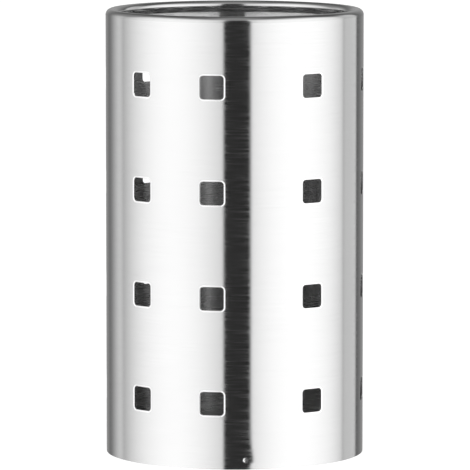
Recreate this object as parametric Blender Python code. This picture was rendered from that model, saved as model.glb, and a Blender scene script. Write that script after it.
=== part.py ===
"""Cutlery holder: a perforated steel tube with a curled rim, standing on a pressed base.

Lengths are in metres. The tube stands on z = 0 with its axis along Z, and its front looks along -Y.
Angles round the tube are counted from the front, positive towards +X.
"""

import math

import bmesh
import bpy
from mathutils import Matrix, Vector

# Tube
HOLDER_DIAMETER = 0.1045
HOLDER_HEIGHT = 0.1805
WALL_SHEET = 0.0005

# Rim: the sheet bends inwards, then rolls back under itself and stops short of the wall
RIM_BEND_RADIUS = 0.0028
RIM_CURL_RADIUS = 0.00225
RIM_SLOT = 0.0007

# Perforations: upright columns of rounded squares, with one narrower space where the sheet's ends meet
HOLE_SIZE = 0.0094
HOLE_CORNER_RADIUS = 0.0014
HOLE_ROWS = 4
HOLE_COLUMNS = 8
LOWEST_ROW_HEIGHT = 0.0264
TOP_ROW_DEPTH = 0.0280
SEAM_SPACE = 0.0323
SEAM_ANGLE = math.radians(-27.6)

# Dimples: pressed through the wall into the base's flange, which they hold
DIMPLE_COUNT = 3
DIMPLE_HEIGHT = 0.0038
DIMPLE_RADIUS = 0.0012
DIMPLE_DEPTH = 0.0007
DIMPLE_ANGLE = math.radians(4.8)

# Base: a dish with its flange turned down and a raised middle
BASE_SHEET = 0.0006
BASE_CLEARANCE = 0.0003
BASE_HEIGHT = 0.0085
BASE_BEND_RADIUS = 0.0016
BASE_STEP_RADIUS = 0.0380
BASE_STEP_WIDTH = 0.0022
BASE_STEP_RISE = 0.0012

# Cutting shapes reach this far past what they cut
CUT_OVERRUN = 0.0020

# Faces used for round shapes
TUBE_STEPS = 72
BEND_STEPS = 4
CURL_STEPS = 9
CORNER_STEPS = 3
DIMPLE_STEPS = 16
DOME_STEPS = 5
SHARP_ANGLE = math.radians(35)

# Sizes that follow from those above
TUBE_RADIUS = HOLDER_DIAMETER / 2
BORE_RADIUS = TUBE_RADIUS - WALL_SHEET
FLANGE_RADIUS = BORE_RADIUS - BASE_CLEARANCE
HOLE_ROW_PITCH = (HOLDER_HEIGHT - TOP_ROW_DEPTH - LOWEST_ROW_HEIGHT) / (HOLE_ROWS - 1)
SEAM_SPACE_ANGLE = SEAM_SPACE / TUBE_RADIUS
HOLE_COLUMN_PITCH = (math.tau - SEAM_SPACE_ANGLE) / (HOLE_COLUMNS - 1)
DIMPLE_CENTRE_RADIUS = TUBE_RADIUS - DIMPLE_DEPTH + DIMPLE_RADIUS


def steel(name, shade, roughness):
    """A plain steel material of the given grey and roughness."""
    material = bpy.data.materials.new(name)
    material.use_nodes = True
    shader = material.node_tree.nodes["Principled BSDF"]
    shader.inputs["Base Color"].default_value = (shade, shade, shade, 1)
    shader.inputs["Metallic"].default_value = 1
    shader.inputs["Roughness"].default_value = roughness
    return material


def arc(centre, radius, start, end, steps):
    """Points on an arc about a (radius, height) centre, both ends included."""
    points = []
    for step in range(steps + 1):
        angle = start + (end - start) * step / steps
        points.append((centre[0] + radius * math.cos(angle), centre[1] + radius * math.sin(angle)))
    return points


def outward(angle, height):
    """A frame on the tube's axis whose X runs round the tube, Y up and Z straight out at this angle."""
    place = Matrix((
        (math.cos(angle), 0, math.sin(angle), 0),
        (math.sin(angle), 0, -math.cos(angle), 0),
        (0, 1, 0, height),
        (0, 0, 0, 1),
    ))
    return place


def add_turned(mesh, profile, steps, closed=False, place=Matrix()):
    """Turn a profile of (radius, height) points about the frame's Z axis."""
    rings = []
    for radius, height in profile:
        turns = steps if radius else 1
        ring = []
        for step in range(turns):
            angle = math.tau * step / turns
            point = Vector((radius * math.cos(angle), radius * math.sin(angle), height))
            ring.append(mesh.verts.new(place @ point))
        rings.append(ring)
    pairs = list(zip(rings, rings[1:]))
    if closed:
        pairs.append((rings[-1], rings[0]))
    for first, second in pairs:
        for step in range(steps):
            corners = []
            for ring, turn in ((first, step), (first, step + 1), (second, step + 1), (second, step)):
                corner = ring[turn % len(ring)]
                if corner not in corners:
                    corners.append(corner)
            mesh.faces.new(corners)


def add_prism(mesh, outline, near, far, place):
    """Extrude an outline in the frame's XY plane from one distance along Z to another."""
    ends = []
    for distance in (near, far):
        ends.append([mesh.verts.new(place @ Vector((x, y, distance))) for x, y in outline])
    for step in range(len(outline)):
        after = (step + 1) % len(outline)
        mesh.faces.new((ends[0][step], ends[0][after], ends[1][after], ends[1][step]))
    mesh.faces.new(reversed(ends[0]))
    mesh.faces.new(ends[1])


def finish(name, mesh, material=None):
    """Turn a bmesh into an object, smooth where it is round."""
    bmesh.ops.recalc_face_normals(mesh, faces=mesh.faces)
    data = bpy.data.meshes.new(name)
    mesh.to_mesh(data)
    mesh.free()
    data.shade_smooth()
    data.set_sharp_from_angle(angle=SHARP_ANGLE)
    if material:
        data.materials.append(material)
    made = bpy.data.objects.new(name, data)
    bpy.context.scene.collection.objects.link(made)
    return made


def combine(target, shape, operation):
    """Join a helper shape to a piece, or cut it out, and keep the helper out of the render."""
    shape.hide_render = True
    shape.display_type = "WIRE"
    modifier = target.modifiers.new(shape.name, "BOOLEAN")
    modifier.operation = operation
    modifier.solver = "EXACT"
    modifier.object = shape


def rounded_square(size, corner):
    """The outline of a square with rounded corners, centred on the frame's axis."""
    reach = size / 2 - corner
    outline = []
    for quarter in range(4):
        start = quarter * math.pi / 2
        along = reach if quarter in (0, 3) else -reach
        up = reach if quarter in (0, 1) else -reach
        outline += arc((along, up), corner, start, start + math.pi / 2, CORNER_STEPS)
    return outline


def column_angles():
    """The angle of each column of holes, starting just past the narrower space."""
    first = SEAM_ANGLE + SEAM_SPACE_ANGLE / 2
    return [first + column * HOLE_COLUMN_PITCH for column in range(HOLE_COLUMNS)]


def dimple_angles():
    """The angle of each dimple, evenly round the tube."""
    return [DIMPLE_ANGLE + math.tau * dimple / DIMPLE_COUNT for dimple in range(DIMPLE_COUNT)]


def dome_shapes(name, radius, root):
    """The backs of all the dimples, as domes that start at a given distance from the tube's axis."""
    mesh = bmesh.new()
    spread = math.acos((DIMPLE_CENTRE_RADIUS - root) / radius)
    profile = [(0, DIMPLE_CENTRE_RADIUS - radius)]
    for step in range(1, DOME_STEPS + 1):
        angle = spread * step / DOME_STEPS
        profile.append((radius * math.sin(angle), DIMPLE_CENTRE_RADIUS - radius * math.cos(angle)))
    profile.append((0, root))
    for angle in dimple_angles():
        add_turned(mesh, profile, DIMPLE_STEPS, place=outward(angle, DIMPLE_HEIGHT))
    return finish(name, mesh)


def pit_shapes(name, radius):
    """The hollows of all the dimples, as balls about the same centres as their backs."""
    mesh = bmesh.new()
    profile = [(0, DIMPLE_CENTRE_RADIUS - radius)]
    for step in range(1, 2 * DOME_STEPS):
        angle = math.pi * step / (2 * DOME_STEPS)
        profile.append((radius * math.sin(angle), DIMPLE_CENTRE_RADIUS - radius * math.cos(angle)))
    profile.append((0, DIMPLE_CENTRE_RADIUS + radius))
    for angle in dimple_angles():
        add_turned(mesh, profile, DIMPLE_STEPS, place=outward(angle, DIMPLE_HEIGHT))
    return finish(name, mesh)


def hole_shapes():
    """One rounded square bar for each perforation, through the wall."""
    mesh = bmesh.new()
    outline = rounded_square(HOLE_SIZE, HOLE_CORNER_RADIUS)
    for angle in column_angles():
        for row in range(HOLE_ROWS):
            height = LOWEST_ROW_HEIGHT + row * HOLE_ROW_PITCH
            place = outward(angle, height)
            add_prism(mesh, outline, BORE_RADIUS - CUT_OVERRUN, TUBE_RADIUS + CUT_OVERRUN, place)
    return finish("hole_cutters", mesh)


def wall_profile():
    """The sheet's section: up the outside, over the bend, round the curl and back inside it."""
    middle = TUBE_RADIUS - RIM_BEND_RADIUS
    bend = (middle, HOLDER_HEIGHT - RIM_BEND_RADIUS)
    curl = (middle, HOLDER_HEIGHT - RIM_CURL_RADIUS)
    last = math.tau - math.acos((BORE_RADIUS - RIM_SLOT - middle) / RIM_CURL_RADIUS)
    top = math.pi / 2
    outside = [(TUBE_RADIUS, 0)]
    outside += arc(bend, RIM_BEND_RADIUS, 0, top, BEND_STEPS)
    outside += arc(curl, RIM_CURL_RADIUS, top, last, CURL_STEPS)[1:]
    inside = [(BORE_RADIUS, 0)]
    inside += arc(bend, RIM_BEND_RADIUS - WALL_SHEET, 0, top, BEND_STEPS)
    inside += arc(curl, RIM_CURL_RADIUS - WALL_SHEET, top, last, CURL_STEPS)[1:]
    return outside + inside[::-1]


def perforated_wall(material):
    """The rolled tube with its rim, its perforations and the dimples near its bottom edge."""
    mesh = bmesh.new()
    add_turned(mesh, wall_profile(), TUBE_STEPS, closed=True)
    wall = finish("perforated_wall", mesh, material)
    backs = dome_shapes("wall_dimple_backs", DIMPLE_RADIUS + WALL_SHEET, TUBE_RADIUS - WALL_SHEET / 2)
    combine(wall, backs, "UNION")
    combine(wall, pit_shapes("wall_dimple_pits", DIMPLE_RADIUS), "DIFFERENCE")
    combine(wall, hole_shapes(), "DIFFERENCE")
    return wall


def base_profile():
    """The dish's section: across the top, round the bend, down the flange and back underneath."""
    raised = BASE_HEIGHT + BASE_STEP_RISE
    bend = (FLANGE_RADIUS - BASE_BEND_RADIUS, BASE_HEIGHT - BASE_BEND_RADIUS)
    top = [(0, raised), (BASE_STEP_RADIUS - BASE_STEP_WIDTH, raised), (BASE_STEP_RADIUS, BASE_HEIGHT)]
    top += arc(bend, BASE_BEND_RADIUS, math.pi / 2, 0, BEND_STEPS)
    top.append((FLANGE_RADIUS, BASE_CLEARANCE))
    under = [(radius, height - BASE_SHEET) for radius, height in top[:3]]
    under += arc(bend, BASE_BEND_RADIUS - BASE_SHEET, math.pi / 2, 0, BEND_STEPS)
    under.append((FLANGE_RADIUS - BASE_SHEET, BASE_CLEARANCE))
    return top + under[::-1]


def pressed_base(material):
    """The dish inside the bottom of the tube, dented where the wall's dimples hold it."""
    mesh = bmesh.new()
    add_turned(mesh, base_profile(), TUBE_STEPS)
    base = finish("pressed_base", mesh, material)
    pit = DIMPLE_RADIUS + WALL_SHEET + BASE_CLEARANCE
    backs = dome_shapes("flange_dent_backs", pit + BASE_SHEET, FLANGE_RADIUS - BASE_SHEET / 2)
    combine(base, backs, "UNION")
    combine(base, pit_shapes("flange_dent_pits", pit), "DIFFERENCE")
    return base


def main():
    for item in list(bpy.data.objects):
        bpy.data.objects.remove(item, do_unlink=True)
    holder = bpy.data.objects.new("cutlery_holder", None)
    bpy.context.scene.collection.objects.link(holder)
    wall = perforated_wall(steel("brushed_wall_steel", shade=0.72, roughness=0.28))
    base = pressed_base(steel("satin_base_steel", shade=0.66, roughness=0.36))
    for piece in (wall, base):
        piece.parent = holder


main()
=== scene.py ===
"""The looks of the cutlery holder: a brushed, perforated steel tube on a pressed base, in a pale studio."""

import math

import bpy
import numpy as np
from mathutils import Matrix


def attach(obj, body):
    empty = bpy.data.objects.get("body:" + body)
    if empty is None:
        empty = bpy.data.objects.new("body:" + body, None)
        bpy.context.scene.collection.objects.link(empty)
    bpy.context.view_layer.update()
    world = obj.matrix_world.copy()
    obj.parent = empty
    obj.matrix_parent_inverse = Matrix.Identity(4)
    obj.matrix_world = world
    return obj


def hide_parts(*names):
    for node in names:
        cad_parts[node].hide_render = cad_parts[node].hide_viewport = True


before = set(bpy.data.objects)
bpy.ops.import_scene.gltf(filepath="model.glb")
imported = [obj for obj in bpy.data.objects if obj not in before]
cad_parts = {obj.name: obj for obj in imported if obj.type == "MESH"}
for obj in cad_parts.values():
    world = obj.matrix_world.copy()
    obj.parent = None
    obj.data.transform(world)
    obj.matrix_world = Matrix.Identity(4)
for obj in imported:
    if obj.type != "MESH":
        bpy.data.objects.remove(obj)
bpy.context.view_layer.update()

# Sizes that the solids have too, in metres. Angles are counted from the front, positive towards +X
TUBE = 0.05225
SHEET = 0.0005
BORE = TUBE - SHEET
TALL = 0.1805
SLOT = 0.0007
HOLE = 0.0094
CORNER = 0.0014
ROW_COUNT = 4
LOWEST_ROW = 0.0264
TOP_ROW_DEPTH = 0.0280
ROWS = [LOWEST_ROW + row * (TALL - TOP_ROW_DEPTH - LOWEST_ROW) / (ROW_COUNT - 1) for row in range(ROW_COUNT)]
COLUMN_COUNT = 8
SEAM_ANGLE = math.radians(-27.6)
SEAM_SPACE = 0.0323 / TUBE
FIRST_COLUMN = SEAM_ANGLE + SEAM_SPACE / 2
COLUMN_PITCH = (math.tau - SEAM_SPACE) / (COLUMN_COUNT - 1)
COLUMNS = [FIRST_COLUMN + column * COLUMN_PITCH for column in range(COLUMN_COUNT)]
DIMPLE_COUNT = 3
DIMPLE_HEIGHT = 0.0038
DIMPLE_RADIUS = 0.0012
DIMPLE_DEPTH = 0.0007
FIRST_DIMPLE = math.radians(4.8)
DIMPLES = [FIRST_DIMPLE + math.tau * dimple / DIMPLE_COUNT for dimple in range(DIMPLE_COUNT)]
BASE_SHEET = 0.0006
BASE_CLEARANCE = 0.0003
FLANGE = BORE - BASE_CLEARANCE
FLANGE_END = BASE_CLEARANCE
BASE_TOP = 0.0085
BASE_BEND = 0.0016
STEP_OUT = 0.0380
STEP_WIDE = 0.0022
STEP_RISE = 0.0012

# Finer shape than the solids have: the rolled edges of the holes and the small rounds of the sheet
ROLL_WIDE = 0.00062
ROLL_TILT = math.radians(20)
EDGE_ROUND = 0.00008
BACK_ROUND = 0.00005
FOOT_ROUND = 0.00005

# The rim: a tighter bend than the solids have, an oval curl and the hem that hangs from it
BEND = 0.0024
CURL_WIDE = 0.0025
CURL_TALL = 0.0021
CURL_END = math.radians(262)
HEM_RADIUS = BORE - SHEET - SLOT / 2
HEM_ROUND = 0.0006
HEM_LONG = 0.0034
HEM_LEAN = math.radians(2)
HEM_CURVE = math.radians(4)

# The dimples: a hollow with a pit in its middle, a dome behind it, and a wide dish that turns out at the foot
HOLLOW_WIDE = 0.0012
HOLLOW_SLOPE = math.radians(9.0)
PIT_WIDE = 0.00032
PIT_ROUND = 0.00002
PIT_STEEP = math.radians(85)
DOME_CENTRE = 0.0010
DISH_DEPTH = 0.000085
DISH_WIDE = 0.0036
DISH_TALL = 0.0042
DISH_TOP = 0.03
FLARE_TOP = 0.0034
FLARE_LOW = 0.0016
FLARE = 1.25

# The foot is drawn in a little, so that the dish doesn't turn it out past the solids
FOOT_DRAW = 0.00002
FOOT_DRAW_TOP = 0.020

# The base: the dents that the dimples leave in its flange, and the flange's rounded end
DENT_WIDE = 0.0019
DENT_TOP = 0.0068
FLANGE_ROUND = 0.00015
LEEWAY = 0.0001

# The meshes' grids: blocks round holes and dimples, where grids meet, spacings and rings of points
HOLE_BLOCK = 0.0070
HOLE_STRAIGHT = 0.6
DIMPLE_BLOCK = 0.0024
CORNER_STEPS = 4
JOIN_LOW = 0.0110
JOIN_HIGH = 0.0120
WALL_SPACING = 0.0026
HOLE_SPACING = 0.0050
LOW_SPACING = 0.0008
BASE_SPACING = 0.0018
DENT_SPACING = 0.0003
NEAR_DIMPLE = np.array([0.0032, 0.0040, 0.0048, 0.0058, 0.0070])
NEAR_DENT = np.arange(-7, 8) * DENT_SPACING
OUTER_RINGS = (0.55, 0.2)
INNER_RING = 0.35
CORNER_GROWTH = 0.9
TOP_RINGS = (0.0010, 0.0040, 0.0080, 0.0120, 0.0160, 0.0200, 0.0240, 0.0280, 0.0320, 0.0350)
SHOULDER_RINGS = (0.0386, 0.0410, 0.0440, 0.0470)
FLANGE_RINGS = (0.0064, 0.0060)
DENT_RINGS_TOP = 0.0058
LOW_FLANGE_RINGS = (0.0018, 0.0012)

# Places in a grid are rounded to this many digits, and a difference below the other number is none
DIGITS = 9
TINY = 1e-9

# The finishes by their numbers: four on the wall, one on the base
BRUSHED, POLISHED, ROLLED, DULL = range(4)
SATIN = 0


# Mesh helpers

def wrap(angle):
    """The same angle between minus half a turn and half a turn."""
    return (angle + math.pi) % math.tau - math.pi


class Skin:
    """Points on a turned surface with their own normals, and the faces between them."""

    def __init__(self):
        self.angle, self.height, self.radius = [], [], []
        self.around, self.up, self.out = [], [], []
        self.quads, self.tris = [], []
        self.count = 0

    def add(self, angle, height, radius, around, up, out):
        """Add points. The normal is given round the tube, up and straight out."""
        arrays = np.broadcast_arrays(angle, height, radius, around, up, out)
        shape = arrays[0].shape
        stores = (self.angle, self.height, self.radius, self.around, self.up, self.out)
        for store, values in zip(stores, arrays):
            store.append(np.array(values, float).ravel())
        made = np.arange(self.count, self.count + int(np.prod(shape))).reshape(shape)
        self.count += made.size
        return made

    def grid(self, index, finish, skip=None):
        """Faces between the rows and columns of an index array, closed round the tube."""
        index = np.concatenate([index, index[:, :1]], 1)
        corners = np.stack([index[:-1, :-1], index[:-1, 1:], index[1:, 1:], index[1:, :-1]], -1)
        if skip is not None:
            corners = corners[~skip]
        corners = corners.reshape(-1, 4)
        self.quads.append((corners, np.full(len(corners), finish)))

    def zip_rings(self, low, high):
        """Triangles between two rings that have their points at different angles."""
        angles = np.concatenate(self.angle)
        first = angles[low]
        ahead = (angles[high] - first[0]) % math.tau
        start = int(np.argmin(ahead))
        high = np.roll(high, -start)
        second = first[0] + np.roll(ahead, -start)
        n, m = len(low), len(high)
        i = j = 0
        faces = []
        while i < n or j < m:
            next_first = first[i + 1] if i + 1 < n else first[0] + math.tau
            next_second = second[j + 1] if j + 1 < m else second[0] + math.tau
            if j >= m or (i < n and next_first <= next_second):
                faces.append((low[i % n], low[(i + 1) % n], high[j % m]))
                i += 1
            else:
                faces.append((low[i % n], high[(j + 1) % m], high[j % m]))
                j += 1
        self.tris.append((np.array(faces), np.full(len(faces), BRUSHED)))

    def fan(self, centre, ring, finish):
        """Triangles between one point and a ring."""
        faces = np.stack([np.full(len(ring), centre), ring, np.roll(ring, -1)], -1)
        self.tris.append((faces, np.full(len(faces), finish)))

    def sweep(self, section, angles, before):
        """Faces from ring to ring of a section, whose points are radius, height, up, out and finish."""
        for radius, height, up, out, finish in section:
            ring = self.add(angles, height, radius, 0, up, out)
            self.grid(np.stack([before, ring]), finish)
            before = ring
        return before

    def press(self, depth_at, where):
        """Push points inwards by a depth that depends on their place round and up from each dimple."""
        angle, height = np.concatenate(self.angle), np.concatenate(self.height)
        radius = np.concatenate(self.radius)
        around, up, out = (np.concatenate(v) for v in (self.around, self.up, self.out))
        for centre in DIMPLES:
            across = wrap(angle - centre) * TUBE
            above = height - DIMPLE_HEIGHT
            depth, slope_across, slope_above = depth_at(across, above)
            chosen = where(radius, height)
            side = np.where(out >= 0, 1, -1) * chosen
            radius = radius - depth * chosen
            around = around + side * slope_across
            up = up + side * slope_above
        self.angle, self.height, self.radius = [angle], [height], [radius]
        self.around, self.up, self.out = [around], [up], [out]

    def draw_in(self, depth, top):
        """Draw the surface in, from nothing at a height to the full depth at the foot."""
        height, radius = np.concatenate(self.height), np.concatenate(self.radius)
        up, out = np.concatenate(self.up), np.concatenate(self.out)
        share = np.clip(1 - height / top, 0, 1)
        self.radius = [radius - depth * share ** 2]
        self.up = [up - np.where(out >= 0, 1, -1) * 2 * depth * share / top]

    def build(self, name, finishes):
        """Make the mesh object, with every face turned to agree with its normals."""
        angle, height, radius = (np.concatenate(v) for v in (self.angle, self.height, self.radius))
        around, up, out = (np.concatenate(v) for v in (self.around, self.up, self.out))
        sine, cosine = np.sin(angle), np.cos(angle)
        points = np.stack([radius * sine, -radius * cosine, height], -1)
        normals = np.stack([out * sine + around * cosine, -out * cosine + around * sine, up], -1)
        normals /= np.linalg.norm(normals, axis=1, keepdims=True)
        used = np.zeros(len(points), bool)
        faces, kinds = [], []
        for corners, finish in self.quads + self.tris:
            used[corners] = True
            a, b, c = points[corners[:, 0]], points[corners[:, 1]], points[corners[:, 2]]
            d = points[corners[:, -1]]
            facing = np.cross(c - a, d - b) if corners.shape[1] == 4 else np.cross(b - a, c - a)
            wrong = (facing * normals[corners].sum(1)).sum(1) < 0
            corners = np.where(wrong[:, None], corners[:, ::-1], corners)
            faces += corners.tolist()
            kinds.append(finish)
        renumber = np.cumsum(used) - 1
        faces = [[int(renumber[c]) for c in face] for face in faces]
        mesh = bpy.data.meshes.new(name)
        mesh.from_pydata(points[used].tolist(), [], faces)
        mesh.polygons.foreach_set("material_index", np.concatenate(kinds).astype(np.int32))
        mesh.polygons.foreach_set("use_smooth", np.ones(len(faces), bool))
        for finish in finishes:
            mesh.materials.append(finish)
        mesh.update()
        mesh.normals_split_custom_set_from_vertices(normals[used].tolist())
        made = bpy.data.objects.new(name, mesh)
        bpy.context.scene.collection.objects.link(made)
        return made


def shares(straight, corner_steps, straight_steps):
    """Places along one side of a rounded square, from -1 to 1, with the middle part straight."""
    half = [straight * step / straight_steps for step in range(straight_steps)] if straight else []
    half += [straight + (1 - straight) * step / corner_steps for step in range(corner_steps + 1)]
    half = np.array(sorted(set(half)))
    return np.concatenate([-half[:0:-1], half])


def ring_points(places, straight, half, corner):
    """A rounded square ring as (across, above) points and outward directions, four sides in turn."""
    places = places[:-1]
    size = np.abs(places)
    bend = np.clip((size - straight) / (1 - straight), 0, 1) * math.pi / 4
    reach = half - corner
    rounded = np.sign(places) * (reach + corner * np.sin(bend))
    along = np.where(size <= straight, places / max(straight, TINY) * reach, rounded)
    depth = reach + corner * np.cos(bend)
    lean = np.sign(places) * np.sin(bend)
    face = np.cos(bend)
    points, directions = [], []
    for c, s in ((1, 0), (0, 1), (-1, 0), (0, -1)):
        points.append(np.stack([c * depth - s * along, s * depth + c * along], -1))
        directions.append(np.stack([c * face - s * lean, s * face + c * lean], -1))
    return np.concatenate(points), np.concatenate(directions)


def block_ring(index, column, row, steps):
    """The indices of a block's edge in a grid, in the same order as ring_points."""
    width = index.shape[1]
    cells = [(steps, j) for j in range(steps)]
    cells += [(steps - i, steps) for i in range(steps)]
    cells += [(0, steps - j) for j in range(steps)]
    cells += [(i, 0) for i in range(steps)]
    return np.array([index[row + j, (column + i) % width] for i, j in cells])


def open_block(skip, column, row, steps):
    """Mark a block's faces to be left out of a grid."""
    skip[row:row + steps, (column + np.arange(steps)) % skip.shape[1]] = True


def nearest(places, value):
    """The index of the place that is nearest to a value."""
    return int(np.argmin(np.abs(places - value)))


def fill(marks, spacing):
    """Every mark but the last, with the wide spaces after them filled."""
    filled = []
    for start, end in zip(marks, marks[1:]):
        steps = max(1, round((end - start) / spacing))
        filled += [start + (end - start) * step / steps for step in range(steps)]
    return filled


def levels(marks, low, high, spacing):
    """Sorted places from low to high that hold every mark, with the wide spaces filled."""
    marks = np.unique(np.round(np.concatenate([[low], np.concatenate(marks), [high]]), DIGITS))
    marks = marks[(marks >= low - TINY) & (marks <= high + TINY)]
    return np.array(fill(marks, spacing) + [marks[-1]])


def round_levels(marks, spacing):
    """The same round the tube, as angles, where the first place doesn't come again at the end."""
    marks = np.unique(np.round(np.concatenate(marks), DIGITS))
    return np.array(fill(np.concatenate([marks, [marks[0] + math.tau]]), spacing))


def arc_point(centre, reach, turn, finish, side=1):
    """A section's point on a round. Its normal points away from the centre, or to it on side -1."""
    sine, cosine = math.sin(turn), math.cos(turn)
    return centre[0] + reach * cosine, centre[1] + reach * sine, side * sine, side * cosine, finish


# The perforated wall

def hole_rings():
    """The rings round a hole from outside to inside: half size, corner radius, depth, tilt and finish."""
    roll_steps, edge_steps = 6, 3
    roll = ROLL_WIDE / math.sin(ROLL_TILT)
    start = ROLL_WIDE + EDGE_ROUND * (1 - math.sin(ROLL_TILT))
    half = HOLE / 2
    rings = []
    for share in OUTER_RINGS:
        gap = start + share * (HOLE_BLOCK - half - start)
        rings.append((half + gap, CORNER + gap * CORNER_GROWTH, 0, 0, BRUSHED))
    for step in range(roll_steps + 1):
        tilt = ROLL_TILT * step / roll_steps
        gap = start - roll * math.sin(tilt)
        finish = POLISHED if step else BRUSHED
        rings.append((half + gap, CORNER + gap, roll * (1 - math.cos(tilt)), tilt, finish))
    rolled = rings[-1][2]
    for step in range(1, edge_steps + 1):
        tilt = ROLL_TILT + (math.pi / 2 - ROLL_TILT) * step / edge_steps
        gap = EDGE_ROUND * (1 - math.sin(tilt))
        depth = rolled + EDGE_ROUND * (math.cos(ROLL_TILT) - math.cos(tilt))
        rings.append((half + gap, CORNER + gap, depth, tilt, POLISHED))
    back = SHEET - BACK_ROUND
    rings.append((half, CORNER, back, math.pi / 2, POLISHED))
    for step in range(1, edge_steps + 1):
        tilt = math.pi / 2 * (1 + step / edge_steps)
        gap = BACK_ROUND * (1 - math.sin(tilt))
        rings.append((half + gap, CORNER + gap, back - BACK_ROUND * math.cos(tilt), tilt, POLISHED))
    gap = INNER_RING * (HOLE_BLOCK - half)
    rings.append((half + gap, CORNER + gap * CORNER_GROWTH, SHEET, math.pi, BRUSHED))
    return rings


def dimple_rings():
    """The same round a dimple: a shallow hollow and the pit that the punch left in its middle."""
    hollow_steps, lip_steps, floor_steps = 10, 3, 4
    rings = []
    for step in range(hollow_steps + 1):
        share = 1 - step / hollow_steps
        wide = PIT_WIDE + (HOLLOW_WIDE - PIT_WIDE) * share
        tilt = HOLLOW_SLOPE * math.sin(math.pi * share) ** 2
        fallen = 0.5 - share / 2 + math.sin(2 * math.pi * share) / (4 * math.pi)
        down = math.tan(HOLLOW_SLOPE) * (HOLLOW_WIDE - PIT_WIDE) * fallen
        rings.append((wide, wide, down, tilt, POLISHED if step else BRUSHED))
    wide, _, deep, flat, _ = rings[-1]
    for step in range(1, lip_steps + 1):
        tilt = flat + (PIT_STEEP - flat) * step / lip_steps
        reach = wide - PIT_ROUND * (math.sin(tilt) - math.sin(flat))
        rings.append((reach, reach, deep + PIT_ROUND * (math.cos(flat) - math.cos(tilt)), tilt, DULL))
    wide, _, deep, _, _ = rings[-1]
    drop = DIMPLE_DEPTH - PIT_ROUND * (1 - math.cos(PIT_STEEP)) - deep
    for step in range(floor_steps):
        tilt = PIT_STEEP * (1 - step / floor_steps)
        reach = wide - drop / math.tan(PIT_STEEP) - PIT_ROUND * (math.sin(PIT_STEEP) - math.sin(tilt))
        rings.append((reach, reach, DIMPLE_DEPTH - PIT_ROUND * (1 - math.cos(tilt)), tilt, DULL))
    return rings


def dimple_back():
    """The same behind a dimple, where it is a dome on the bore."""
    steps = 5
    ball = DIMPLE_RADIUS + SHEET
    widest = math.acos(DOME_CENTRE / ball)
    rings = []
    for step in range(steps):
        tilt = widest * (1 - step / steps)
        reach = ball * math.sin(tilt)
        depth = DIMPLE_DEPTH + SHEET - ball * (1 - math.cos(tilt))
        rings.append((reach, reach, depth, math.pi - tilt, BRUSHED))
    return rings


def add_patch(skin, centre, height, places, straight, outer, rings, inner=None):
    """Rings of faces from a block's edge in the outer grid to its centre, or on to the inner grid."""
    before = outer
    for half, corner, depth, tilt, finish in rings:
        points, directions = ring_points(places, straight, half, corner)
        sine, cosine = math.sin(tilt), math.cos(tilt)
        ring = skin.add(
            centre + points[:, 0] / TUBE, height + points[:, 1], TUBE - depth,
            -directions[:, 0] * sine, -directions[:, 1] * sine, cosine,
        )
        skin.grid(np.stack([before, ring]), finish)
        before = ring
    if inner is not None:
        skin.grid(np.stack([before, inner]), DULL)
    return before


def dish(across, above):
    """The shallow hollow that the punch leaves round each dimple, turned out again at the foot."""
    near = DISH_DEPTH * np.exp(-(across / DISH_WIDE) ** 2) / (1 + (above / DISH_TALL) ** 2)
    share = np.clip((FLARE_TOP - DIMPLE_HEIGHT - above) / (FLARE_TOP - FLARE_LOW), 0, 1)
    keep = 1 - FLARE * share * share * (3 - 2 * share)
    depth = near * keep
    turned = near * FLARE * 6 * share * (1 - share) / (FLARE_TOP - FLARE_LOW)
    fall = -2 * above / (DISH_TALL ** 2 + above ** 2)
    return depth, -2 * across / DISH_WIDE ** 2 * depth, fall * depth + turned


def add_sides(skin, angles, heights):
    """Points of a grid on the outside and on the bore, and its faces to leave out, which are none yet."""
    places = (angles[None, :], heights[:, None])
    sides = [skin.add(*places, radius, 0, 0, out) for radius, out in ((TUBE, 1), (BORE, -1))]
    return sides, np.zeros((len(heights) - 1, len(angles)), bool)


def add_upper_wall(skin):
    """The wall with the holes, with a patch round each. Gives its two grids and their angles."""
    places = shares(HOLE_STRAIGHT, CORNER_STEPS, CORNER_STEPS)
    steps = len(places) - 1
    angles = round_levels([centre + places * HOLE_BLOCK / TUBE for centre in COLUMNS], WALL_SPACING / TUBE)
    heights = levels([height + places * HOLE_BLOCK for height in ROWS], JOIN_HIGH, TALL - BEND, HOLE_SPACING)
    sides, skip = add_sides(skin, angles, heights)
    rings = hole_rings()
    for centre in COLUMNS:
        column = nearest(angles, centre - HOLE_BLOCK / TUBE)
        for height in ROWS:
            row = nearest(heights, height - HOLE_BLOCK)
            open_block(skip, column, row, steps)
            edges = [block_ring(index, column, row, steps) for index in sides]
            add_patch(skin, centre, height, places, HOLE_STRAIGHT, edges[0], rings, edges[1])
    for index, finish in zip(sides, (BRUSHED, DULL)):
        skin.grid(index, finish, skip)
    return sides, angles


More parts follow.
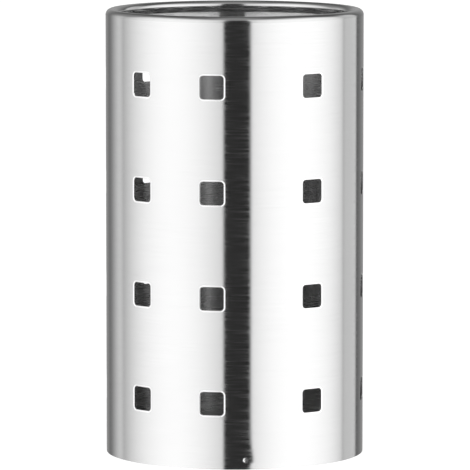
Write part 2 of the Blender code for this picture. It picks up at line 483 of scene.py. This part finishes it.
def add_lower_wall(skin):
    """The wall with the dimples, fine round each of them. Gives its two grids and their angles."""
    places = shares(0, CORNER_STEPS, 0)
    steps = len(places) - 1
    across = np.concatenate([-NEAR_DIMPLE, places * DIMPLE_BLOCK, NEAR_DIMPLE])
    angles = round_levels([centre + across / TUBE for centre in DIMPLES], WALL_SPACING / TUBE)
    heights = levels([DIMPLE_HEIGHT + places * DIMPLE_BLOCK], FOOT_ROUND, JOIN_LOW, LOW_SPACING)
    sides, skip = add_sides(skin, angles, heights)
    row = nearest(heights, DIMPLE_HEIGHT - DIMPLE_BLOCK)
    patches = (
        (sides[0], dimple_rings(), TUBE - DIMPLE_DEPTH, 1, DULL),
        (sides[1], dimple_back(), TUBE - DIMPLE_DEPTH - SHEET, -1, BRUSHED),
    )
    for centre in DIMPLES:
        column = nearest(angles, centre - DIMPLE_BLOCK / TUBE)
        open_block(skip, column, row, steps)
        for index, rings, radius, out, finish in patches:
            edge = block_ring(index, column, row, steps)
            last = add_patch(skin, centre, DIMPLE_HEIGHT, places, 0, edge, rings)
            middle = skin.add(np.array([centre]), DIMPLE_HEIGHT, radius, 0, 0, out)
            skin.fan(middle[0], last, finish)
    for index, finish in zip(sides, (BRUSHED, DULL)):
        skin.grid(index, finish, skip)
    return sides, angles


def foot_section():
    """The foot from outside to inside: two small rounds, with the flat ring it stands on between them."""
    steps = 3
    section = []
    for step in range(1, steps + 1):
        turn = -math.pi / 2 * step / steps
        section.append(arc_point((TUBE - FOOT_ROUND, FOOT_ROUND), FOOT_ROUND, turn, POLISHED))
    for step in range(steps):
        turn = -math.pi / 2 * (1 + step / steps)
        section.append(arc_point((BORE + FOOT_ROUND, FOOT_ROUND), FOOT_ROUND, turn, POLISHED))
    return section


def rim_front():
    """The front of the curl and its hem: radius, height, the way that the surface faces, and finish."""
    curl_steps, bend_steps, hem_steps = 36, 8, 6
    front = []
    for step in range(curl_steps + 1):
        turn = math.pi / 2 + (CURL_END - math.pi / 2) * step / curl_steps
        lean = math.atan2(math.sin(turn) / CURL_TALL, math.cos(turn) / CURL_WIDE)
        radius = TUBE - BEND + CURL_WIDE * math.cos(turn)
        height = TALL - CURL_TALL + CURL_TALL * math.sin(turn)
        front.append((radius, height, lean, ROLLED))

    # From the curl's end the sheet runs straight to the bend from which the hem hangs
    start = lean + math.pi / 2
    stop = -math.pi / 2 - HEM_LEAN
    reach = HEM_RADIUS - HEM_ROUND * (math.sin(start) - math.sin(stop)) - radius
    centre_radius = radius + reach + HEM_ROUND * math.sin(start)
    centre_height = height + reach * math.tan(start) - HEM_ROUND * math.cos(start)
    for step in range(bend_steps + 1):
        turn = start + (stop - start) * step / bend_steps
        radius = centre_radius - HEM_ROUND * math.sin(turn)
        height = centre_height + HEM_ROUND * math.cos(turn)
        front.append((radius, height, turn - math.pi / 2, BRUSHED))
    for step in range(1, hem_steps + 1):
        turn = stop - HEM_CURVE * (step - 0.5) / hem_steps
        radius = radius + HEM_LONG / hem_steps * math.cos(turn)
        height = height + HEM_LONG / hem_steps * math.sin(turn)
        front.append((radius, height, stop - HEM_CURVE * step / hem_steps - math.pi / 2, BRUSHED))
    return front


def rim_section():
    """The rim: over the bend, round the curl, down the hem, round its end, and back behind them all."""
    bend_steps, end_steps, inner_steps = 14, 4, 10
    centre = (TUBE - BEND, TALL - BEND)
    section = []
    for step in range(1, bend_steps + 1):
        section.append(arc_point(centre, BEND, math.pi / 2 * step / bend_steps, ROLLED))
    front = rim_front()
    for radius, height, lean, finish in front[1:]:
        section.append((radius, height, math.sin(lean), math.cos(lean), finish))
    for step in range(1, end_steps):
        turn = lean + math.pi * step / end_steps
        end_radius = radius + SHEET / 2 * (math.cos(turn) - math.cos(lean))
        end_height = height + SHEET / 2 * (math.sin(turn) - math.sin(lean))
        section.append((end_radius, end_height, math.sin(turn), math.cos(turn), POLISHED))
    for radius, height, lean, _ in front[::-1]:
        section.append(arc_point((radius, height), -SHEET, lean, DULL, side=-1))
    for step in range(1, inner_steps):
        turn = math.pi / 2 * (1 - step / inner_steps)
        section.append(arc_point(centre, BEND - SHEET, turn, DULL, side=-1))
    return section


def make_wall(finishes):
    """The rolled sheet from the foot to the rim, with both its sides."""
    skin = Skin()
    upper, upper_angles = add_upper_wall(skin)
    lower, lower_angles = add_lower_wall(skin)
    for below, above in zip(lower, upper):
        skin.zip_rings(below[-1], above[0])
    foot = skin.sweep(foot_section(), lower_angles, lower[0][0])
    skin.grid(np.stack([foot, lower[1][0]]), POLISHED)
    rim = skin.sweep(rim_section(), upper_angles, upper[0][-1])
    skin.grid(np.stack([rim, upper[1][-1]]), DULL)
    skin.press(dish, lambda radius, height: (height < DISH_TOP) * 1.0)
    skin.draw_in(FOOT_DRAW, FOOT_DRAW_TOP)
    return skin.build("perforated_wall_sheet", finishes)


# The pressed base

def dent(across, above):
    """The dent that a dimple leaves in the base's flange."""
    share = np.clip(1 - (across ** 2 + above ** 2) / DENT_WIDE ** 2, 0, 1)
    slope = -4 * DIMPLE_DEPTH / DENT_WIDE ** 2 * share
    return DIMPLE_DEPTH * share ** 2, slope * across, slope * above


def top_height(radius):
    """The height of the dish's top at a radius, and its slope: a soft step leads up to the middle."""
    share = np.clip((radius - (STEP_OUT - STEP_WIDE)) / STEP_WIDE, 0, 1)
    height = BASE_TOP + STEP_RISE * (1 - share * share * (3 - 2 * share))
    return height, -STEP_RISE * 6 * share * (1 - share) / STEP_WIDE


def base_section():
    """The dish from the centre of its top, over the flange's end and back below."""
    step_steps, bend_steps, dent_steps, end_steps = 8, 8, 12, 6
    section = []
    flat = [*TOP_RINGS]
    flat += [STEP_OUT - STEP_WIDE * (1 - step / step_steps) for step in range(step_steps + 1)]
    flat += [*SHOULDER_RINGS, FLANGE - BASE_BEND]
    for radius in flat:
        height, slope = top_height(radius)
        section.append((radius, height, 1, -slope, SATIN))
    centre = (FLANGE - BASE_BEND, BASE_TOP - BASE_BEND)
    for step in range(1, bend_steps + 1):
        section.append(arc_point(centre, BASE_BEND, math.pi / 2 * (1 - step / bend_steps), SATIN))
    end = FLANGE_END + FLANGE_ROUND
    drops = [*FLANGE_RINGS]
    drops += [DENT_RINGS_TOP - DENT_SPACING * step for step in range(1, dent_steps + 1)]
    drops += [*LOW_FLANGE_RINGS, end]
    for height in drops:
        section.append((FLANGE, height, 0, 1, SATIN))
    half = BASE_SHEET / 2
    for step in range(1, end_steps):
        turn = -math.pi * step / end_steps
        sine, cosine = math.sin(turn), math.cos(turn)
        up = sine * (half / FLANGE_ROUND)
        section.append((FLANGE - half + half * cosine, end + FLANGE_ROUND * sine, up, cosine, SATIN))
    for height in reversed(drops):
        section.append((FLANGE - BASE_SHEET, height, 0, -1, SATIN))
    for step in range(1, bend_steps + 1):
        turn = math.pi / 2 * step / bend_steps
        section.append(arc_point(centre, BASE_BEND - BASE_SHEET, turn, SATIN, side=-1))
    for radius in reversed(flat[:-1]):
        height, slope = top_height(radius)
        section.append((radius, height - BASE_SHEET, -1, slope, SATIN))
    return section


def in_flange(radius, height):
    """1 for points of the flange at the dents' height, and 0 for the others."""
    return (radius > FLANGE - BASE_SHEET - LEEWAY) * (height < DENT_TOP) * 1.0


def make_base(finishes):
    """The pressed dish, with its flange turned down."""
    skin = Skin()
    angles = round_levels([centre + NEAR_DENT / TUBE for centre in DIMPLES], BASE_SPACING / TUBE)
    section = base_section()
    radius, height, up, out, finish = section[0]
    first = skin.add(angles, height, radius, 0, up, out)
    top = skin.add(np.array([0.0]), BASE_TOP + STEP_RISE, 0, 0, 1, 0)
    skin.fan(top[0], first, finish)
    last = skin.sweep(section[1:], angles, first)
    under = skin.add(np.array([0.0]), BASE_TOP + STEP_RISE - BASE_SHEET, 0, 0, -1, 0)
    skin.fan(under[0], last, finish)
    skin.press(dent, in_flange)
    return skin.build("pressed_base_dish", finishes)


# Materials

# The brushing runs round the tube and draws reflections out up and down, a quarter turn from the tangent
BRUSHING_TURN = 0.25


class Nodes:
    """A few lines that make a node tree shorter to write."""

    def __init__(self, tree):
        self.tree = tree
        tree.nodes.clear()

    def add(self, kind, inputs=(), **settings):
        """A new node, with its settings, and its inputs set to values or linked to other nodes."""
        node = self.tree.nodes.new(kind)
        for name, value in settings.items():
            setattr(node, name, value)
        for name, value in dict(inputs).items():
            if isinstance(value, bpy.types.NodeSocket):
                self.tree.links.new(value, node.inputs[name])
            else:
                node.inputs[name].default_value = value
        return node

    def math(self, operation, first, second=0.0):
        return self.add("ShaderNodeMath", {0: first, 1: second}, operation=operation).outputs[0]

    def times(self, first, second):
        return self.math("MULTIPLY", first, second)

    def mix(self, share, first, second):
        """Goes from the first value to the second as the share goes from 0 to 1."""
        return self.add("ShaderNodeMix", {0: share, 2: first, 3: second}).outputs[0]

    def smooth(self, value, low, high):
        """Rises smoothly from 0 to 1 as the value goes from low to high."""
        inputs = {"Value": value, "From Min": low, "From Max": high}
        return self.add("ShaderNodeMapRange", inputs, interpolation_type="SMOOTHSTEP").outputs["Result"]

    def spread(self, value, low, high):
        """Turns a noise value around 0.5 into a number between low and high."""
        inputs = {"Value": value, "From Min": 0.25, "From Max": 0.75, "To Min": low, "To Max": high}
        return self.add("ShaderNodeMapRange", inputs).outputs["Result"]

    def noise(self, vector, detail, roughness=0.5):
        inputs = {"Vector": vector, "Scale": 1.0, "Detail": detail, "Roughness": roughness}
        return self.add("ShaderNodeTexNoise", inputs).outputs["Fac"]

    def stretch(self, vector, scale, shift=(0, 0, 0)):
        """A place for noise, with its waves for each metre along x, y and z, and moved by a shift."""
        scaled = self.add("ShaderNodeVectorMath", {0: vector, 1: scale}, operation="MULTIPLY").outputs[0]
        return self.add("ShaderNodeVectorMath", {0: scaled, 1: shift}, operation="ADD").outputs[0]

    def bump(self, height, distance, strength=1.0):
        inputs = {"Strength": strength, "Distance": distance, "Height": height}
        return self.add("ShaderNodeBump", inputs).outputs["Normal"]


def start_material(name):
    """A new material, its nodes, and the place on the object that its patterns follow."""
    material = bpy.data.materials.new(name)
    material.use_nodes = True
    n = Nodes(material.node_tree)
    return material, n, n.add("ShaderNodeTexCoord").outputs["Object"]


def link_steel(n, level, roughness, bump, brushing=0.0):
    """Make the material a grey metal, brushed round the tube where the brushing is above 0."""
    colour = n.add("ShaderNodeCombineColor", {0: level, 1: level, 2: level}).outputs[0]
    inputs = {"Base Color": colour, "Metallic": 1.0, "Roughness": roughness, "Normal": bump}
    if brushing:
        inputs["Tangent"] = n.add("ShaderNodeTangent", direction_type="RADIAL", axis="Z").outputs[0]
        inputs["Anisotropic"] = brushing
        inputs["Anisotropic Rotation"] = BRUSHING_TURN
    shader = n.add("ShaderNodeBsdfPrincipled", inputs)
    n.add("ShaderNodeOutputMaterial", {"Surface": shader.outputs[0]})


def brushed_steel(name, shade, rough, swing, hair_scale, hair_detail, hair_height):
    """Steel brushed round the tube: fine and coarse streaks in its shade, roughness and height."""
    hair_share, streak_share = 0.6, 0.4
    material, n, place = start_material(name)
    streak_place = n.stretch(place, scale=(90, 90, 1700), shift=(3.1, 7.7, 1.3))
    cloud_place = n.stretch(place, scale=(45, 45, 30), shift=(9.2, 1.4, 4.4))
    hair = n.noise(n.stretch(place, hair_scale), hair_detail, roughness=0.6)
    streak = n.noise(streak_place, detail=2.0, roughness=0.6)
    cloud = n.noise(cloud_place, detail=4.0)
    grain = n.math("ADD", n.times(hair, hair_share), n.times(streak, streak_share))
    tone = n.times(n.spread(grain, 0.96, 1.03), n.spread(cloud, 0.985, 1.01))
    level = n.times(n.spread(cloud, 0.95, 1.06), rough)
    roughness = n.times(n.spread(streak, 1 - swing, 1 + swing), level)
    link_steel(n, n.times(tone, shade), roughness, n.bump(hair, hair_height), brushing=1.0)
    return material


def polished_steel(name, shade, rough):
    """Steel left bright by the punch or the rolling dies, with faint draw lines and scuffs."""
    material, n, place = start_material(name)
    lines = n.noise(n.stretch(place, scale=(60, 60, 2600)), detail=2.0)
    scuff_place = n.stretch(place, scale=(380, 380, 380), shift=(2.2, 5.1, 8.3))
    scuffs = n.noise(scuff_place, detail=5.0, roughness=0.6)
    tone = n.times(n.spread(lines, 0.97, 1.02), n.spread(scuffs, 0.97, 1.02))
    roughness = n.times(n.spread(scuffs, 0.8, 1.3), rough)
    link_steel(n, n.times(tone, shade), roughness, n.bump(lines, distance=0.000002, strength=0.6))
    return material


def satin_steel(name, shade, rough):
    """Pressed sheet with the fine rings that turning leaves, and soft marks from use."""
    ring_scale = 2400.0
    material, n, place = start_material(name)
    x, y, z = n.add("ShaderNodeSeparateXYZ", {0: place}).outputs
    far = n.math("SQRT", n.math("ADD", n.math("POWER", x, 2.0), n.math("POWER", y, 2.0)))
    turned = {0: n.times(far, ring_scale), 1: n.times(z, ring_scale)}
    rings = n.noise(n.add("ShaderNodeCombineXYZ", turned).outputs[0], detail=3.0, roughness=0.6)
    cloud = n.noise(n.stretch(place, scale=(70, 70, 70), shift=(1.2, 3.4, 5.6)), detail=4.0)
    tone = n.times(n.spread(rings, 0.95, 1.03), n.spread(cloud, 0.96, 1.03))
    roughness = n.times(n.times(n.spread(rings, 0.9, 1.1), n.spread(cloud, 0.9, 1.15)), rough)
    link_steel(n, n.times(tone, shade), roughness, n.bump(rings, distance=0.000006), brushing=0.7)
    return material


# The studio

# Its walls by direction, in degrees from straight ahead. Each side has a dark gap for the camera, a large
# soft box that is brightest in its middle, a dimmer panel behind it and a dim backdrop
GAP_LEVEL = 0.03
LEFT = {
    "gap_edge": (8.4, 11.2), "box_middle": 57, "box_reach": 79, "box_power": 2.0, "box_level": 1.28,
    "box_end": (118, 130), "panel_start": (100, 128), "panel_end": (123, 154), "panel_level": 0.71,
    "backdrop_rise": (130, 176), "backdrop_level": 0.33,
}
RIGHT = {
    "gap_edge": (12.6, 16.0), "box_middle": 60, "box_reach": 74, "box_power": 2.5, "box_level": 1.33,
    "box_end": (110, 122), "panel_start": (102, 119), "panel_end": (136.5, 142.5), "panel_level": 0.63,
    "backdrop_rise": (120, 180), "backdrop_level": 0.33,
}

# Where the walls end upwards, in degrees above level. High up they are never darker than one level, which
# closes the gap
FRONT_TOP = (30.0, 78.0)
BACK_TOP_LEFT = (6.0, 30.0)
BACK_TOP_RIGHT = (22.0, 42.0)
BACK_START = (100.0, 125.0)
HIGH_START = (38.0, 52.0)
HIGH_LEVEL = 0.4

# The dark room above: its own level, a strip of light overhead that stops short of the back, and a left wall.
# They fade in between two values of a part of the direction, which is 1 long: its distance from the middle
# with the sign turned, its way to the front, and its way to the left
ROOM_LEVEL = 0.11
STRIP_WIDE = (-0.35, -0.1)
STRIP_BACK = (-0.6, -0.2)
STRIP_LEVEL = 0.18
LEFT_WALL_START = (0.2, 0.7)
LEFT_WALL_LEVEL = 0.18

# The light from below, in degrees below level. It stands in for the floor in reflections, as the floor isn't
# seen in them
BELOW_START = (35.0, 70.0)
BELOW_LEVEL = 0.85

# The floor's shade, and the glow that with the light on it makes it white to the camera
FLOOR_REACH = 30.0
FLOOR_SHADE = 0.55
FLOOR_GLOW = 0.785

CAMERA_PLACE = (0.00015, -1.9911, 0.3125)
CAMERA_DOWN = 6.4274
CAMERA_SENSOR = 36
CAMERA_LENS = 377.40
CAMERA_REACH = 100


def side_level(n, turn, side):
    """The brightness of one side's wall at an angle from straight ahead."""
    away = n.math("ABSOLUTE", n.math("SUBTRACT", turn, side["box_middle"]))
    fade = n.math("POWER", n.math("DIVIDE", away, side["box_reach"]), side["box_power"])
    box = n.times(n.math("MAXIMUM", n.math("SUBTRACT", 1.0, fade), 0.0), side["box_level"])
    box = n.times(box, n.smooth(turn, *side["gap_edge"]))
    box = n.times(box, n.math("SUBTRACT", 1.0, n.smooth(turn, *side["box_end"])))
    panel = n.math("SUBTRACT", n.smooth(turn, *side["panel_start"]), n.smooth(turn, *side["panel_end"]))
    panel = n.times(panel, side["panel_level"])
    backdrop = n.times(n.smooth(turn, *side["backdrop_rise"]), side["backdrop_level"])
    return n.math("ADD", n.math("MAXIMUM", box, panel), n.math("ADD", backdrop, GAP_LEVEL))


def build_world():
    """White to the camera, and for light and reflections a studio that depends on direction alone."""
    world = bpy.data.worlds.new("studio")
    bpy.context.scene.world = world
    world.use_nodes = True
    n = Nodes(world.node_tree)
    ray = n.add("ShaderNodeTexCoord").outputs["Generated"]
    x, y, z = n.add("ShaderNodeSeparateXYZ", {0: ray}).outputs
    to_left = n.times(x, -1.0)
    to_front = n.times(y, -1.0)
    degrees = 180 / math.pi
    turn = n.times(n.math("ARCTAN2", x, to_front), degrees)
    rise = n.times(n.math("ARCSINE", z), degrees)

    # The walls, which end lower behind than in front, and lowest behind on the left
    is_right = n.math("GREATER_THAN", turn, 0.0)
    sides = n.mix(is_right, side_level(n, n.times(turn, -1.0), LEFT), side_level(n, turn, RIGHT))
    walls = n.math("MAXIMUM", sides, n.times(n.smooth(rise, *HIGH_START), HIGH_LEVEL))
    is_behind = n.smooth(n.math("ABSOLUTE", turn), *BACK_START)
    back_low = n.mix(is_right, BACK_TOP_LEFT[0], BACK_TOP_RIGHT[0])
    back_high = n.mix(is_right, BACK_TOP_LEFT[1], BACK_TOP_RIGHT[1])
    is_room = n.mix(is_behind, n.smooth(rise, *FRONT_TOP), n.smooth(rise, back_low, back_high))

    # The room above them
    strip = n.times(n.smooth(n.times(n.math("ABSOLUTE", x), -1.0), *STRIP_WIDE), STRIP_LEVEL)
    strip = n.times(strip, n.smooth(to_front, *STRIP_BACK))
    left_wall = n.times(n.smooth(to_left, *LEFT_WALL_START), LEFT_WALL_LEVEL)
    room = n.math("ADD", n.math("ADD", strip, ROOM_LEVEL), left_wall)

    studio = n.mix(is_room, walls, room)
    studio = n.mix(n.smooth(n.times(rise, -1.0), *BELOW_START), studio, BELOW_LEVEL)
    seen = n.add("ShaderNodeLightPath").outputs["Is Camera Ray"]
    background = n.add("ShaderNodeBackground", {"Color": (1, 1, 1, 1), "Strength": n.mix(seen, studio, 1.0)})
    n.add("ShaderNodeOutputWorld", {"Surface": background.outputs[0]})


def build_floor():
    """A wide pale floor, white to the camera, that keeps the holder's shadow."""
    mesh = bpy.data.meshes.new("studio_floor")
    signs = ((-1, -1), (1, -1), (1, 1), (-1, 1))
    mesh.from_pydata([(FLOOR_REACH * x, FLOOR_REACH * y, 0) for x, y in signs], [], [(0, 1, 2, 3)])
    floor = bpy.data.objects.new("studio_floor", mesh)
    bpy.context.scene.collection.objects.link(floor)
    material = bpy.data.materials.new("studio_floor")
    material.use_nodes = True
    n = Nodes(material.node_tree)
    matt = n.add("ShaderNodeBsdfDiffuse", {"Color": (FLOOR_SHADE, FLOOR_SHADE, FLOOR_SHADE, 1)})
    seen = n.add("ShaderNodeLightPath").outputs["Is Camera Ray"]
    glow = n.add("ShaderNodeEmission", {"Color": (1, 1, 1, 1), "Strength": n.times(seen, FLOOR_GLOW)})
    both = n.add("ShaderNodeAddShader", {0: matt.outputs[0], 1: glow.outputs[0]})
    n.add("ShaderNodeOutputMaterial", {"Surface": both.outputs[0]})
    mesh.materials.append(material)
    floor.visible_glossy = False


def build_camera():
    """The camera of the photo: in front, a little above the rim and turned down."""
    data = bpy.data.cameras.new("camera")
    camera = bpy.data.objects.new("camera", data)
    bpy.context.scene.collection.objects.link(camera)
    data.sensor_width = CAMERA_SENSOR
    data.lens = CAMERA_LENS
    data.clip_end = CAMERA_REACH
    camera.location = CAMERA_PLACE
    camera.rotation_euler = (math.radians(90 - CAMERA_DOWN), 0, 0)
    bpy.context.scene.camera = camera


brushed = brushed_steel(
    "brushed_wall_steel", shade=0.76, rough=0.155, swing=0.65,
    hair_scale=(40, 40, 5200), hair_detail=3.0, hair_height=0.000004,
)
bore = brushed_steel(
    "brushed_bore_steel", shade=0.62, rough=0.26, swing=0.12,
    hair_scale=(4, 4, 5200), hair_detail=0.0, hair_height=0.000007,
)
polished = polished_steel("polished_edge_steel", shade=0.95, rough=0.16)
rolled = polished_steel("rolled_rim_steel", shade=0.70, rough=0.13)
satin = satin_steel("satin_base_steel", shade=0.55, rough=0.34)

wall = make_wall([brushed, polished, rolled, bore])
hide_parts("perforated_wall")
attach(wall, "root")

base = make_base([satin])
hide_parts("pressed_base")
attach(base, "root")

build_world()
build_floor()
build_camera()
bpy.context.scene.view_settings.view_transform = "Standard"
